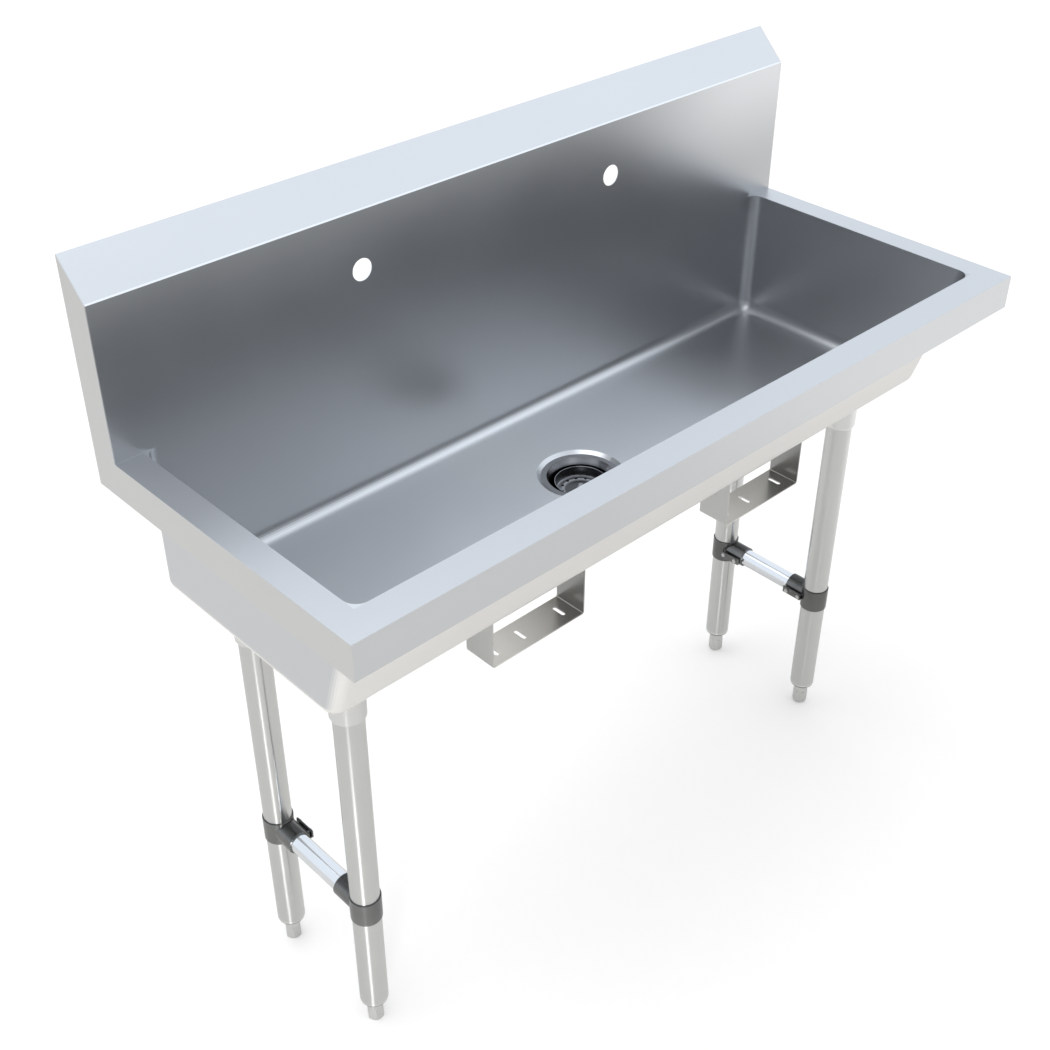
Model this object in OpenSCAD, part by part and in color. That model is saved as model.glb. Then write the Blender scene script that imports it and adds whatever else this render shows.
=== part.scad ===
// Long hand sink of folded stainless sheet with a backsplash, on four tube legs.
// Millimetres. X runs along the sink, the user stands at -Y, and Z is up from the floor.

/* [Overall] */
// Length of the sink, end to end
sink_length = 1219.2; // [900:0.1:1800]
// Depth from the apron to the back of the backsplash
sink_depth = 501.6; // [460:0.1:620]
// Height of the rim above the floor
rim_height = 880; // [800:1:950]
// Thickness of the sheet metal
sheet = 1.2; // [0.8:0.1:2]

/* [Rim] */
// Height of the apron
apron_height = 50; // [30:0.5:70]
// Width of the flange turned in along the apron's lower edge
apron_flange = 12; // [6:0.5:18]
// Width of the deck in front of the bowl
front_deck = 44.4; // [30:0.1:60]
// Width of the deck at each end of the bowl
end_deck = 38.1; // [28:0.1:60]

/* [Bowl] */
// Depth of the bowl below the rim
bowl_depth = 203.2; // [140:0.1:250]
// Distance from the bowl's front edge back to the axis of the front wall's lower bend
front_setback = 78; // [45:0.1:95]
// Inside radius of the coved corners
cove_r = 19.05; // [10:0.05:25]

/* [Backsplash] */
// Height of the flat face above the rim
splash_face = 206.9; // [160:0.1:300]
// Depth of the backsplash from its face to its back
splash_depth = 48; // [30:0.1:75]
// Height of the sloping top
splash_slope = 46.6; // [25:0.1:75]
// Height of the lip turned down at the back
splash_lip = 25; // [10:0.5:60]
// Diameter of the faucet holes
faucet_hole_d = 31; // [20:0.5:36]
// Distance between the faucet holes, and between the valve brackets
faucet_spacing = 457.2; // [260:0.1:700]
// Height of the faucet holes above the rim
faucet_height = 127; // [60:0.1:180]

/* [Legs] */
// Outer diameter of a leg tube
leg_d = 41.3; // [34:0.1:50]
// Wall of a leg tube
leg_wall = 1.5; // [1:0.1:2.5]
// Distance from the start of the end cove to the leg axis
leg_end_inset = 54.7; // [36:0.1:150]
// Distance from the front bend of the floor to the front leg axis
front_leg_inset = 59.2; // [56:0.1:80]
// Distance from the rear bend of the floor to the rear leg axis
rear_leg_inset = 50.4; // [36:0.1:80]
// Length of a leg socket below the bowl
socket_length = 83; // [50:0.5:120]
// Wall of a leg socket
socket_wall = 3.3; // [2:0.1:5]
// Width of the weld flange round the top of a leg socket
socket_flange = 10; // [5:0.5:15]

/* [Feet] */
// Height of the end of a leg tube above the floor
foot_height = 45; // [38:0.5:60]
// Height of the hexagon that a wrench turns
foot_hex_height = 24; // [14:0.5:28]
// Width of the hexagon across its flats
foot_hex_w = 22; // [18:0.5:26]
// Diameter of the threaded stem
stem_d = 12.6; // [8:0.1:16]
// Distance that a foot screws out
foot_travel = 25; // [10:0.5:30]

/* [Cross rails] */
// Height of the rail axis above the floor
rail_height = 241.8; // [150:0.1:400]
// Outer diameter of a cross rail
rail_d = 30; // [22:0.1:34]
// Wall of a cross rail
rail_wall = 1.2; // [0.8:0.1:2]
// Height of the collar that grips a leg
clamp_height = 41.2; // [38:0.1:60]
// Wall of the collar
clamp_wall = 1.8; // [1.5:0.1:3]
// Wall of the socket that holds the rail
clamp_socket_wall = 2.7; // [2:0.1:3]
// Distance from the leg axis to the end of the rail socket
clamp_reach = 50; // [44:0.5:70]

/* [Valve brackets] */
// Width of a bracket along the sink
bracket_w = 165.1; // [120:0.1:220]
// Depth of a bracket from front to back
bracket_depth = 50.4; // [36:0.1:60]
// Distance from the bowl down to the underside of a bracket
bracket_drop = 83; // [50:0.5:120]
// Thickness of the bracket's metal
bracket_sheet = 1.9; // [1.2:0.1:3]
// Length of a mounting slot
slot_length = 22; // [12:0.5:30]
// Width of a mounting slot
slot_w = 6.4; // [4:0.1:9]

/* [Drain] */
// Distance from the backsplash face to the drain axis
drain_setback = 177.8; // [140:0.1:200]
// Radius of the stamped recess at the bowl floor
recess_r = 63.6; // [60:0.1:75]
// Radius of the strainer's flange
strainer_flange_r = 57.15; // [54:0.05:58]
// Radius of the hole through the bowl floor
drain_hole_r = 50.4; // [50:0.1:52]
// Inside radius of the strainer's cup
strainer_cup_r = 44.6; // [42:0.1:45.5]
// Radius of the basket's rim
basket_r = 38; // [32:0.1:41]
// Outer diameter of the tailpiece
tailpiece_d = 38.1; // [32:0.1:40]

/* [Hidden] */
$fn = 64;
// Steps along each bend of the bowl
bend_steps = 10;
left = -1;
right = 1;
front = -1;
rear = 1;
// Extra reach of every cut past the face that it opens
overrun = 1;
// Radial clearance between a shaft or tube and what holds it
running_fit = 0.05;

// Rim and bowl places
front_y = -sink_depth / 2;
back_y = sink_depth / 2;
face_y = back_y - splash_depth;
half_length = sink_length / 2;
deck_under = rim_height - sheet;
apron_bottom = rim_height - apron_height;
floor_z = rim_height - bowl_depth;
bowl_bottom = floor_z - sheet;
bowl_front = front_y + front_deck;
end_x = half_length - end_deck;
seam_x = end_x - cove_r;
cove_z = floor_z + cove_r;
rear_cove_y = face_y - cove_r;
front_cove_y = bowl_front + front_setback;
// Lean of the front wall from upright, which brings it to the rim at the bowl's front edge
cove_drop = bowl_depth - cove_r;
front_lean = acos(cove_r / norm([front_setback, cove_drop])) - atan2(cove_drop, front_setback);
// Thickness of the leaning wall, measured level
lean_sheet = sheet / cos(front_lean);
// Seam between the front deck and the end deck strips
deck_seam_y = bowl_front - 2 * sheet;
// Backsplash places
slope_foot_z = rim_height + splash_face;
splash_top = slope_foot_z + splash_slope;
slope_rise = splash_slope / splash_depth;
slope_sheet = sheet * sqrt(1 + slope_rise * slope_rise);

// Leg places
leg_x = seam_x - leg_end_inset;
front_leg_y = front_cove_y + front_leg_inset;
rear_leg_y = rear_cove_y - rear_leg_inset;
leg_r = leg_d / 2;
leg_inner_r = leg_r - leg_wall;
// Thickness of the plate that closes the top of a leg socket
socket_plate = 3;
socket_r = leg_r + running_fit + socket_wall;
socket_bottom = bowl_bottom - socket_length;
// Height and depth of the rounding on the socket's lower lip
socket_lip = 3;
socket_lip_in = 2;
// Socket set screws
set_screw_r = 4;
set_screw_proud = 1.5;
set_screw_key = 4;
set_screw_key_depth = 3;
set_screw_z = socket_bottom + socket_length / 2;

// Foot and insert
stem_r = stem_d / 2;
stem_grip = 25;
insert_lip = 5;
insert_lip_step = 0.65;
insert_lip_bevel = 3;
insert_length = 35;
shoulder_r = 12;
shoulder_edge = 1;
foot_bevel = 2;
shoulder_top = foot_height - insert_lip;

// Cross rail and clamp
rail_r = rail_d / 2;
collar_r = leg_r + clamp_wall;
rail_socket_r = rail_r + running_fit + clamp_socket_wall;
// Web left between a leg collar and the end of the rail
rail_web = 1;
rail_seat = collar_r + rail_web;
// Clamping lug beside the rail socket: an upright plate on a web, with a groove between
lug_plate = 2.5;
lug_groove = 3.7;
lug_start = 13;
lug_height = 12;
lug_web = 3;
lug_wall = 0.5;
lug_face = rail_socket_r + lug_wall + lug_groove + lug_plate;
clamp_edge = 0.8;
// Clamp screws
clamp_screw_r = 2;
clamp_screw_head_r = 3.75;
clamp_screw_head = 2.2;
clamp_screw_tip = 0.6;
clamp_screw_first = 17;
clamp_screw_pitch = 25;

// Valve bracket
bracket_bend = 2;
bracket_flange = 15;
bracket_corner = bracket_sheet + bracket_bend;
bracket_bottom = bowl_bottom - bracket_drop;
// Slot places along the bracket, measured from its middle
slot_outer = 60;
slot_middle = 11.3;

// Drain
drain_y = face_y - drain_setback;
recess_ledge = 4.8;
recess_clear = 0.45;
recess_ledge_r = strainer_flange_r + recess_clear;
recess_run = (recess_r - recess_ledge_r) / recess_ledge;
strainer_wall = 1.2;
// Gap between the strainer and the hole in the bowl floor
strainer_gap = 0.96;
strainer_mouth_r = drain_hole_r - strainer_gap;
strainer_throat = 13;
strainer_cup = 46;
strainer_cone = 10;
outlet_r = 19.5;
outlet_wall = 2.7;
outlet_length = 28;
outlet_end = strainer_cup + strainer_cone + outlet_length;
gasket_r = 58.5;
gasket_thick = 3;
washer_thick = 1;
locknut_r = 60;
locknut_height = 12;
locknut_lug = 5;
locknut_lug_w = 12;
locknut_lugs = 6;
stack_top = recess_ledge + sheet;
locknut_top = stack_top + gasket_thick + washer_thick;
throat_drop = strainer_throat - recess_ledge;
cup_outer_r = strainer_cup_r + strainer_wall;

// Tailpiece and its nut
tail_r = tailpiece_d / 2;
tail_wall = 1.2;
tail_length = 64;
// Neck rolled into the tube where the nut covers it
tail_neck_in = 0.3;
tail_neck_past = 0.6;
tail_flange = 1.2;
tail_washer = 2;
outlet_outer_r = outlet_r + outlet_wall;
nut_w = 54;
nut_grip = 12;
nut_lip = 3;

// Basket, its stopper and its post
basket_wall = 0.8;
basket_rim_drop = 12;
basket_depth = 15;
basket_draft = 3.2;
basket_dome = 1.6;
basket_hole_r = 2.2;
basket_holes = 12;
basket_ring_r = 27;
basket_well_r = 21;
basket_floor = basket_rim_drop + basket_depth;
stopper_r = 24;
stopper_thick = 4;
stopper_gap = 0.3;
// Depth of the strainer's cone where the stopper's rim stands over it
stopper_seat = strainer_cup + strainer_cone * (strainer_cup_r - stopper_r) / (strainer_cup_r - outlet_r);
stopper_bottom = stopper_seat - stopper_gap;
post_r = 3;
post_knob_r = 6.5;
post_knob = 8;
post_nut_r = 8;
post_nut = 3;

// Height of the underside of the sloping top at place y
function slope_under(y) = slope_foot_z + slope_rise * (y - face_y) - slope_sheet;

// Points along an arc from one angle to another
function arc_points(centre, r, from_angle, to_angle) = [
    for (step = [0 : bend_steps])
        centre + r * [cos(from_angle + (to_angle - from_angle) * step / bend_steps),
                      sin(from_angle + (to_angle - from_angle) * step / bend_steps)]
];

// Section of the bowl space at one radius about its two lower axes, from the front top to the rear top
function bowl_row(r, top_z) = concat(
    [[front_cove_y - (top_z - cove_z) * tan(front_lean) - r / cos(front_lean), top_z]],
    arc_points([front_cove_y, cove_z], r, 180 + front_lean, 270),
    arc_points([rear_cove_y, cove_z], r, 270, 360),
    [[rear_cove_y + r, top_z]]
);

// Corners of the flat end of the bowl
function bowl_tip(top_z) = [
    [front_cove_y - (top_z - cove_z) * tan(front_lean), top_z],
    [front_cove_y, cove_z],
    [rear_cove_y, cove_z],
    [rear_cove_y, top_z]
];

// Corner of the flat end that belongs to a point of the section
function tip_corner(item) = item == 0 ? 0 : item <= bend_steps + 1 ? 1 : item <= 2 * (bend_steps + 1) ? 2 : 3;

// Points of one skin of the coved end, row by row from the seam, and then the corners of its flat part
function skin_points(r, top_z) = concat(
    [
        for (step = [0 : bend_steps - 1]) let (turn = 90 * step / bend_steps)
            for (point = bowl_row(r * cos(turn), top_z)) [seam_x + r * sin(turn), point.x, point.y]
    ],
    [for (point = bowl_tip(top_z)) [seam_x + r, point.x, point.y]]
);

// Triangles of that skin, whose points begin at first
function skin_faces(first, row_size) =
    let (last_start = first + (bend_steps - 1) * row_size, tip_start = first + bend_steps * row_size)
    concat(
        [
            for (step = [0 : bend_steps - 2]) for (item = [0 : row_size - 2])
                let (a = first + step * row_size + item)
                each [[a, a + 1, a + 1 + row_size], [a, a + 1 + row_size, a + row_size]]
        ],
        [
            for (item = [0 : row_size - 2]) let (a = last_start + item, tip = tip_start + tip_corner(item + 1))
                each concat(
                    [[a, a + 1, tip]],
                    tip_corner(item) == tip_corner(item + 1) ? [] : [[a, tip, tip - 1]]
                )
        ],
        [[tip_start, tip_start + 1, tip_start + 2], [tip_start, tip_start + 2, tip_start + 3]]
    );

// Points of a skin along its top edge
function top_path(first, row_size) =
    let (tip_start = first + bend_steps * row_size)
    concat(
        [for (step = [0 : bend_steps - 1]) first + step * row_size],
        [tip_start, tip_start + 3],
        [for (step = [bend_steps - 1 : -1 : 0]) first + (step + 1) * row_size - 1]
    );

// Triangles of a deck face from the path along the bowl to the strip's front and rear outer corners
function deck_faces(path, front_corner, rear_corner, upward) =
    let (faces = concat(
        [for (k = [0 : bend_steps - 1]) [front_corner, path[k], path[k + 1]]],
        [[front_corner, path[bend_steps], rear_corner]],
        [for (k = [bend_steps : len(path) - 2]) [rear_corner, path[k], path[k + 1]]]
    ))
    upward ? [for (face = faces) [face[2], face[1], face[0]]] : faces;

// Two triangles for a face with four corners
function four_corners(a, b, c, d) = [[a, b, c], [a, c, d]];

// Triangles between two paths of points
function strip_faces(path, other) = [
    for (k = [0 : len(path) - 2])
        each [[path[k], path[k + 1], other[k + 1]], [path[k], other[k + 1], other[k]]]
];

// Box given by two opposite corners
module box(low, high) {
    translate(low) cube(high - low);
}

// Turns a shape drawn in X and Y so that it stands in Y and Z and runs along X
module stand_along_x() {
    rotate([90, 0, 90]) children();
}

// Outline in Y and Z, run along X from one place to another
module run_x(from_x, to_x) {
    translate([from_x, 0, 0]) stand_along_x() linear_extrude(to_x - from_x) children();
}

// Bent strip of sheet round the Z axis
module bend(inner_r, thick, angle, length) {
    rotate_extrude(angle = angle) translate([inner_r, 0]) square([thick, length]);
}

// Solid sector round the Z axis
module sector(r, angle, length) {
    rotate_extrude(angle = angle) square([r, length]);
}

// Moves a shape made for the right-hand end to one side
module on_side(side) {
    mirror([side == left ? 1 : 0, 0, 0]) children();
}

// Moves a shape made for the front left leg to any leg
module at_leg(side, row) {
    leg_y = row == front ? front_leg_y : rear_leg_y;
    translate([side * leg_x, leg_y, 0])
        mirror([side == right ? 1 : 0, 0, 0])
            mirror([0, row == rear ? 1 : 0, 0]) children();
}

// Moves a shape to the drain axis, at the level of the bowl floor
module at_drain() {
    translate([0, drain_y, floor_z]) children();
}

// Slot along Y, cut through whatever lies within its height
module slot(length, width, height) {
    straight = length - width;
    translate([-width / 2, -straight / 2, 0]) cube([width, straight, height]);
    translate([0, straight / 2, 0]) sector(width / 2, 180, height);
    translate([0, -straight / 2, 0]) rotate([0, 0, 180]) sector(width / 2, 180, height);
}

// Section of the backsplash above the rim
module splash_outline() {
    polygon([
        [face_y, rim_height],
        [face_y, slope_foot_z],
        [back_y, splash_top],
        [back_y, splash_top - splash_lip],
        [back_y - sheet, splash_top - splash_lip],
        [back_y - sheet, slope_under(back_y - sheet)],
        [face_y + sheet, slope_under(face_y + sheet)],
        [face_y + sheet, rim_height]
    ]);
}

// Section of the bowl: leaning front wall, lower bend, floor, rear bend and rear wall
module bowl_outline() {
    front_axis = [front_cove_y, cove_z];
    rear_axis = [rear_cove_y, cove_z];
    outer_r = cove_r + sheet;
    polygon(concat(
        [[deck_seam_y, rim_height], [bowl_front, rim_height]],
        arc_points(front_axis, cove_r, 180 + front_lean, 270),
        arc_points(rear_axis, cove_r, 270, 360),
        [[face_y, rim_height], [face_y + sheet, rim_height]],
        arc_points(rear_axis, outer_r, 360, 270),
        arc_points(front_axis, outer_r, 270, 180 + front_lean),
        [[bowl_front - lean_sheet + sheet * tan(front_lean), deck_under], [deck_seam_y, deck_under]]
    ));
}

// Bowl with its stamped recess and the drain hole, between the two end walls
module bowl_middle() {
    difference() {
        union() {
            run_x(-seam_x, seam_x) bowl_outline();
            at_drain() translate([0, 0, -stack_top])
                cylinder(h = stack_top, r1 = recess_ledge_r, r2 = recess_ledge_r + recess_run * stack_top);
        }
        at_drain() translate([0, 0, -recess_ledge])
            cylinder(h = recess_ledge + overrun, r1 = recess_ledge_r, r2 = recess_r + recess_run * overrun);
        at_drain() translate([0, 0, -stack_top - overrun])
            cylinder(h = stack_top + 2 * overrun, r = drain_hole_r);
    }
}

// Apron, deck, bowl and backsplash folded from one long sheet
module trough_wrapper() {
    color("lightsteelblue") difference() {
        union() {
            box([-half_length, front_y, deck_under], [half_length, deck_seam_y, rim_height]);
            box([sheet - half_length, front_y, apron_bottom], [half_length - sheet, front_y + sheet, deck_under]);
            box([sheet - half_length, front_y + sheet, apron_bottom],
                [half_length - sheet, front_y + sheet + apron_flange, apron_bottom + sheet]);
            bowl_middle();
            run_x(sheet - half_length, half_length - sheet) splash_outline();
        }
        for (side = [left, right])
            translate([side * faucet_spacing / 2, face_y - overrun, rim_height + faucet_height])
                rotate([-90, 0, 0]) cylinder(h = sheet + 2 * overrun, d = faucet_hole_d);
    }
}

// Coved end of the bowl with its deck strip, pressed from one sheet: one skin inside and one outside,
// joined along the seam, with the deck's top and underside between them and the strip's three edges
module end_wall(side) {
    row_size = 2 * (bend_steps + 2);
    skin_size = bend_steps * row_size + len(bowl_tip(rim_height));
    inner_row = [for (item = [0 : row_size - 1]) item];
    outer_row = [for (item = [0 : row_size - 1]) skin_size + item];
    inner_top = top_path(0, row_size);
    outer_top = top_path(skin_size, row_size);
    top_corner = 2 * skin_size;
    under_corner = top_corner + 4;
    color("lightsteelblue") on_side(side) polyhedron(
        concat(
            skin_points(cove_r, rim_height),
            skin_points(cove_r + sheet, deck_under),
            [[seam_x, deck_seam_y, rim_height], [half_length, deck_seam_y, rim_height]],
            [[half_length, face_y + sheet, rim_height], [seam_x, face_y + sheet, rim_height]],
            [[seam_x, deck_seam_y, deck_under], [half_length, deck_seam_y, deck_under]],
            [[half_length, face_y + sheet, deck_under]]
        ),
        concat(
            [for (face = skin_faces(0, row_size)) [face[2], face[1], face[0]]],
            skin_faces(skin_size, row_size),
            strip_faces(inner_row, outer_row),
            deck_faces(inner_top, top_corner + 1, top_corner + 2, true),
            deck_faces(outer_top, under_corner + 1, under_corner + 2, false),
            [[inner_row[0], top_corner, top_corner + 1], [under_corner, outer_row[0], under_corner + 1]],
            [[top_corner + 2, top_corner + 3, inner_row[row_size - 1]]],
            [[outer_row[row_size - 1], inner_row[row_size - 1], top_corner + 3]],
            four_corners(inner_row[0], outer_row[0], under_corner, top_corner),
            four_corners(top_corner, under_corner, under_corner + 1, top_corner + 1),
            four_corners(top_corner + 1, under_corner + 1, under_corner + 2, top_corner + 2),
            four_corners(top_corner + 2, under_corner + 2, outer_row[row_size - 1], top_corner + 3)
        )
    );
}

// Outer end plate: the end of the apron and the end of the backsplash, with a lower flange
module end_panel(side) {
    color("lightgray") on_side(side) {
        run_x(half_length - sheet, half_length) polygon([
            [front_y, apron_bottom],
            [back_y, apron_bottom],
            [back_y, splash_top],
            [face_y, slope_foot_z],
            [face_y, rim_height],
            [face_y + sheet, rim_height],
            [face_y + sheet, deck_under],
            [front_y, deck_under]
        ]);
        box([half_length - sheet - apron_flange, front_y + sheet + apron_flange, apron_bottom],
            [half_length - sheet, back_y, apron_bottom + sheet]);
    }
}

// Cup welded under the bowl that takes the top of a leg
module leg_socket(side, row) {
    color("silver") at_leg(side, row) difference() {
        translate([0, 0, socket_bottom]) rotate_extrude() polygon([
            [leg_r + running_fit, 0],
            [socket_r - socket_lip_in, 0],
            [socket_r, socket_lip],
            [socket_r, socket_length - socket_plate],
            [socket_r + socket_flange, socket_length - socket_plate],
            [socket_r + socket_flange, socket_length],
            [0, socket_length],
            [0, socket_length - socket_plate],
            [leg_r + running_fit, socket_length - socket_plate]
        ]);
        translate([0, 0, set_screw_z]) set_screw_turn(row)
            cylinder(h = socket_r + overrun, r = set_screw_r + running_fit);
    }
}

// Points the Z axis at the rear of the sink, also for a leg that is mirrored front to back
module set_screw_turn(row) {
    rotate([row == front ? -90 : 90, 0, 0]) children();
}

// One set screw at the back of each leg socket
module socket_set_screws() {
    color("dimgray") for (side = [left, right]) for (row = [front, rear])
        at_leg(side, row) translate([0, 0, set_screw_z]) set_screw_turn(row)
            translate([0, 0, leg_r + running_fit]) difference() {
                length = socket_wall + set_screw_proud;
                cylinder(h = length, r = set_screw_r);
                translate([0, 0, length - set_screw_key_depth])
                    cylinder(h = set_screw_key_depth + overrun, d = set_screw_key, $fn = 6);
            }
}

// Leg tube, open at both ends
module leg_tube(side, row) {
    color("gainsboro") at_leg(side, row) translate([0, 0, foot_height]) difference() {
        length = bowl_bottom - socket_plate - foot_height;
        cylinder(h = length, r = leg_r);
        translate([0, 0, -overrun]) cylinder(h = length + 2 * overrun, r = leg_inner_r);
    }
}

// Threaded plug in the lower end of a leg tube
module leg_insert(side, row) {
    lip_r = leg_r - insert_lip_step;
    plug_r = leg_inner_r - running_fit;
    bore_r = stem_r + running_fit;
    color("dimgray") at_leg(side, row) translate([0, 0, shoulder_top]) rotate_extrude() polygon([
        [bore_r, 0],
        [lip_r - insert_lip_bevel, 0],
        [lip_r, insert_lip_bevel],
        [lip_r, insert_lip],
        [plug_r, insert_lip],
        [plug_r, insert_lip + insert_length],
        [bore_r, insert_lip + insert_length]
    ]);
}

// Screwed foot: hexagon on the floor, round shoulder, and a stem up into the insert
module foot(side, row) {
    hex_r = foot_hex_w / sqrt(3);
    color("gainsboro") at_leg(side, row) {
        intersection() {
            cylinder(h = foot_hex_height, r = hex_r, $fn = 6);
            cylinder(h = foot_bevel, r1 = hex_r - foot_bevel, r2 = hex_r);
        }
        translate([0, 0, foot_bevel]) cylinder(h = foot_hex_height - foot_bevel, r = hex_r, $fn = 6);
        translate([0, 0, foot_hex_height]) rotate_extrude() polygon([
            [0, 0],
            [shoulder_r - shoulder_edge, 0],
            [shoulder_r, shoulder_edge],
            [shoulder_r, shoulder_top - foot_hex_height],
            [stem_r, shoulder_top - foot_hex_height],
            [stem_r, shoulder_top - foot_hex_height + stem_grip + foot_travel],
            [0, shoulder_top - foot_hex_height + stem_grip + foot_travel]
        ]);
    }
}

// Moulded clamp: a collar round the leg, a socket for the rail and a lug for two screws
module rail_clamp(side, row) {
    color("darkslategray") at_leg(side, row) translate([0, 0, rail_height]) difference() {
        union() {
            translate([0, 0, -clamp_height / 2]) rotate_extrude() polygon([
                [0, 0],
                [collar_r - clamp_edge, 0],
                [collar_r, clamp_edge],
                [collar_r, clamp_height - clamp_edge],
                [collar_r - clamp_edge, clamp_height],
                [0, clamp_height]
            ]);
            rotate([-90, 0, 0]) cylinder(h = clamp_reach, r = rail_socket_r);
            box([0, lug_start, -lug_height / 2], [lug_face, clamp_reach, lug_height / 2]);
        }
        box([rail_socket_r + lug_wall, lug_start - overrun, lug_web - lug_height / 2],
            [lug_face - lug_plate, clamp_reach + overrun, lug_height / 2 + overrun]);
        translate([0, 0, -clamp_height / 2 - overrun])
            cylinder(h = clamp_height + 2 * overrun, r = leg_r + running_fit);
        translate([0, rail_seat, 0]) rotate([-90, 0, 0])
            cylinder(h = clamp_reach, r = rail_r + running_fit);
        for (place = [clamp_screw_first, clamp_screw_first + clamp_screw_pitch])
            translate([rail_r, place, 0]) rotate([0, 90, 0])
                cylinder(h = lug_face, r = clamp_screw_r + running_fit);
    }
}

// Two screws in each clamp lug, from the inner side
module clamp_screws() {
    color("darkgray") for (side = [left, right]) for (row = [front, rear])
        for (place = [clamp_screw_first, clamp_screw_first + clamp_screw_pitch])
            at_leg(side, row) translate([lug_face, place, rail_height]) rotate([0, 90, 0]) {
                cylinder(h = clamp_screw_head, r = clamp_screw_head_r);
                length = lug_face - rail_r - running_fit - clamp_screw_tip;
                translate([0, 0, -length]) cylinder(h = length, r = clamp_screw_r);
            }
}

// Rail between the front and rear leg of one side
module cross_rail(side) {
    length = rear_leg_y - front_leg_y - 2 * rail_seat;
    color("aliceblue") translate([side * leg_x, front_leg_y + rail_seat, rail_height])
        rotate([-90, 0, 0]) difference() {
            cylinder(h = length, r = rail_r);
            translate([0, 0, -overrun]) cylinder(h = length + 2 * overrun, r = rail_r - rail_wall);
        }
}

// One half of the bracket's folded section, from its middle to its right-hand flange
module bracket_half() {
    corner_x = bracket_w / 2 - bracket_corner;
    side_x = bracket_w / 2 - bracket_sheet;
    box([0, 0, 0], [corner_x, bracket_depth, bracket_sheet]);
    translate([corner_x, bracket_depth, bracket_corner]) rotate([90, 0, 0]) rotate([0, 0, -90])
        bend(bracket_bend, bracket_sheet, 90, bracket_depth);
    box([side_x, 0, bracket_corner], [bracket_w / 2, bracket_depth, bracket_drop - bracket_corner]);
    translate([corner_x, bracket_depth, bracket_drop - bracket_corner]) rotate([90, 0, 0])
        bend(bracket_bend, bracket_sheet, 90, bracket_depth);
    box([corner_x - bracket_flange, 0, bracket_drop - bracket_sheet], [corner_x, bracket_depth, bracket_drop]);
}

// Folded bracket under the bowl that carries a knee valve
module valve_bracket(side) {
    color("darkgray") translate([side * faucet_spacing / 2, front_cove_y, bracket_bottom]) difference() {
        union() {
            bracket_half();
            mirror([1, 0, 0]) bracket_half();
        }
        for (place = [-slot_outer, -slot_middle, slot_outer])
            translate([place, bracket_depth / 2, -overrun])
                slot(slot_length, slot_w, bracket_sheet + 2 * overrun);
    }
}

// Strainer body: flange in the recess, cup, cone and threaded outlet
module strainer_body() {
    flange_top = recess_ledge - strainer_wall;
    color("silver") at_drain() rotate_extrude() polygon([
        [strainer_flange_r, -flange_top],
        [strainer_mouth_r, -flange_top],
        [strainer_cup_r, -strainer_throat],
        [strainer_cup_r, -strainer_cup],
        [outlet_r, -strainer_cup - strainer_cone],
        [outlet_r, -outlet_end],
        [outlet_outer_r, -outlet_end],
        [outlet_outer_r, -strainer_cup - strainer_cone - strainer_wall],
        [cup_outer_r, -strainer_cup - strainer_wall],
        [cup_outer_r, -strainer_throat],
        [strainer_mouth_r, -recess_ledge],
        [strainer_flange_r, -recess_ledge]
    ]);
}

// Flat ring below the bowl floor, given by its top and thickness
module stack_ring(top, thick, inner_r, outer_r) {
    at_drain() translate([0, 0, -top - thick]) difference() {
        cylinder(h = thick, r = outer_r);
        translate([0, 0, -overrun]) cylinder(h = thick + 2 * overrun, r = inner_r);
    }
}

// Rubber gasket under the bowl floor
module strainer_gasket() {
    color("black") stack_ring(stack_top, gasket_thick, drain_hole_r, gasket_r);
}

// Fibre washer between the gasket and the locknut
module strainer_washer() {
    color("burlywood") stack_ring(stack_top + gasket_thick, washer_thick, drain_hole_r, gasket_r);
}

// Locknut that draws the strainer down, with lugs for a spanner
module strainer_locknut() {
    color("goldenrod") at_drain() translate([0, 0, -locknut_top - locknut_height]) difference() {
        union() {
            cylinder(h = locknut_height, r = locknut_r);
            for (turn = [0 : locknut_lugs - 1])
                rotate([0, 0, turn * 360 / locknut_lugs])
                    box([0, -locknut_lug_w / 2, 0], [locknut_r + locknut_lug, locknut_lug_w / 2, locknut_height]);
        }
        translate([0, 0, -overrun]) cylinder(h = locknut_height + 2 * overrun, r = cup_outer_r + running_fit);
        translate([0, 0, locknut_height - throat_drop / 2])
            cylinder(h = throat_drop / 2 + overrun, r = strainer_mouth_r);
    }
}

// Flat washer between the outlet and the tailpiece
module tailpiece_washer() {
    color("whitesmoke") stack_ring(outlet_end, tail_washer, tail_r - tail_wall, outlet_outer_r);
}

// Flanged tube that carries the water down to the trap
module tailpiece() {
    top = outlet_end + tail_washer;
    neck_end = tail_flange + nut_lip + tail_neck_past;
    color("silver") at_drain() translate([0, 0, -top]) rotate_extrude() polygon([
        [tail_r - tail_wall, 0],
        [outlet_outer_r, 0],
        [outlet_outer_r, -tail_flange],
        [tail_r - tail_neck_in, -tail_flange],
        [tail_r - tail_neck_in, -neck_end],
        [tail_r, -neck_end],
        [tail_r, -tail_length],
        [tail_r - tail_wall, -tail_length]
    ]);
}

// Nut that holds the tailpiece against the outlet
module coupling_nut() {
    lip_top = outlet_end + tail_washer + tail_flange;
    color("silver") at_drain() translate([0, 0, -lip_top - nut_lip]) difference() {
        height = nut_lip + tail_flange + tail_washer + nut_grip;
        cylinder(h = height, r = nut_w / sqrt(3), $fn = 6);
        translate([0, 0, -overrun]) cylinder(h = height + 2 * overrun, r = tail_r + running_fit);
        translate([0, 0, nut_lip]) cylinder(h = height, r = outlet_outer_r + running_fit);
    }
}

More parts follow.
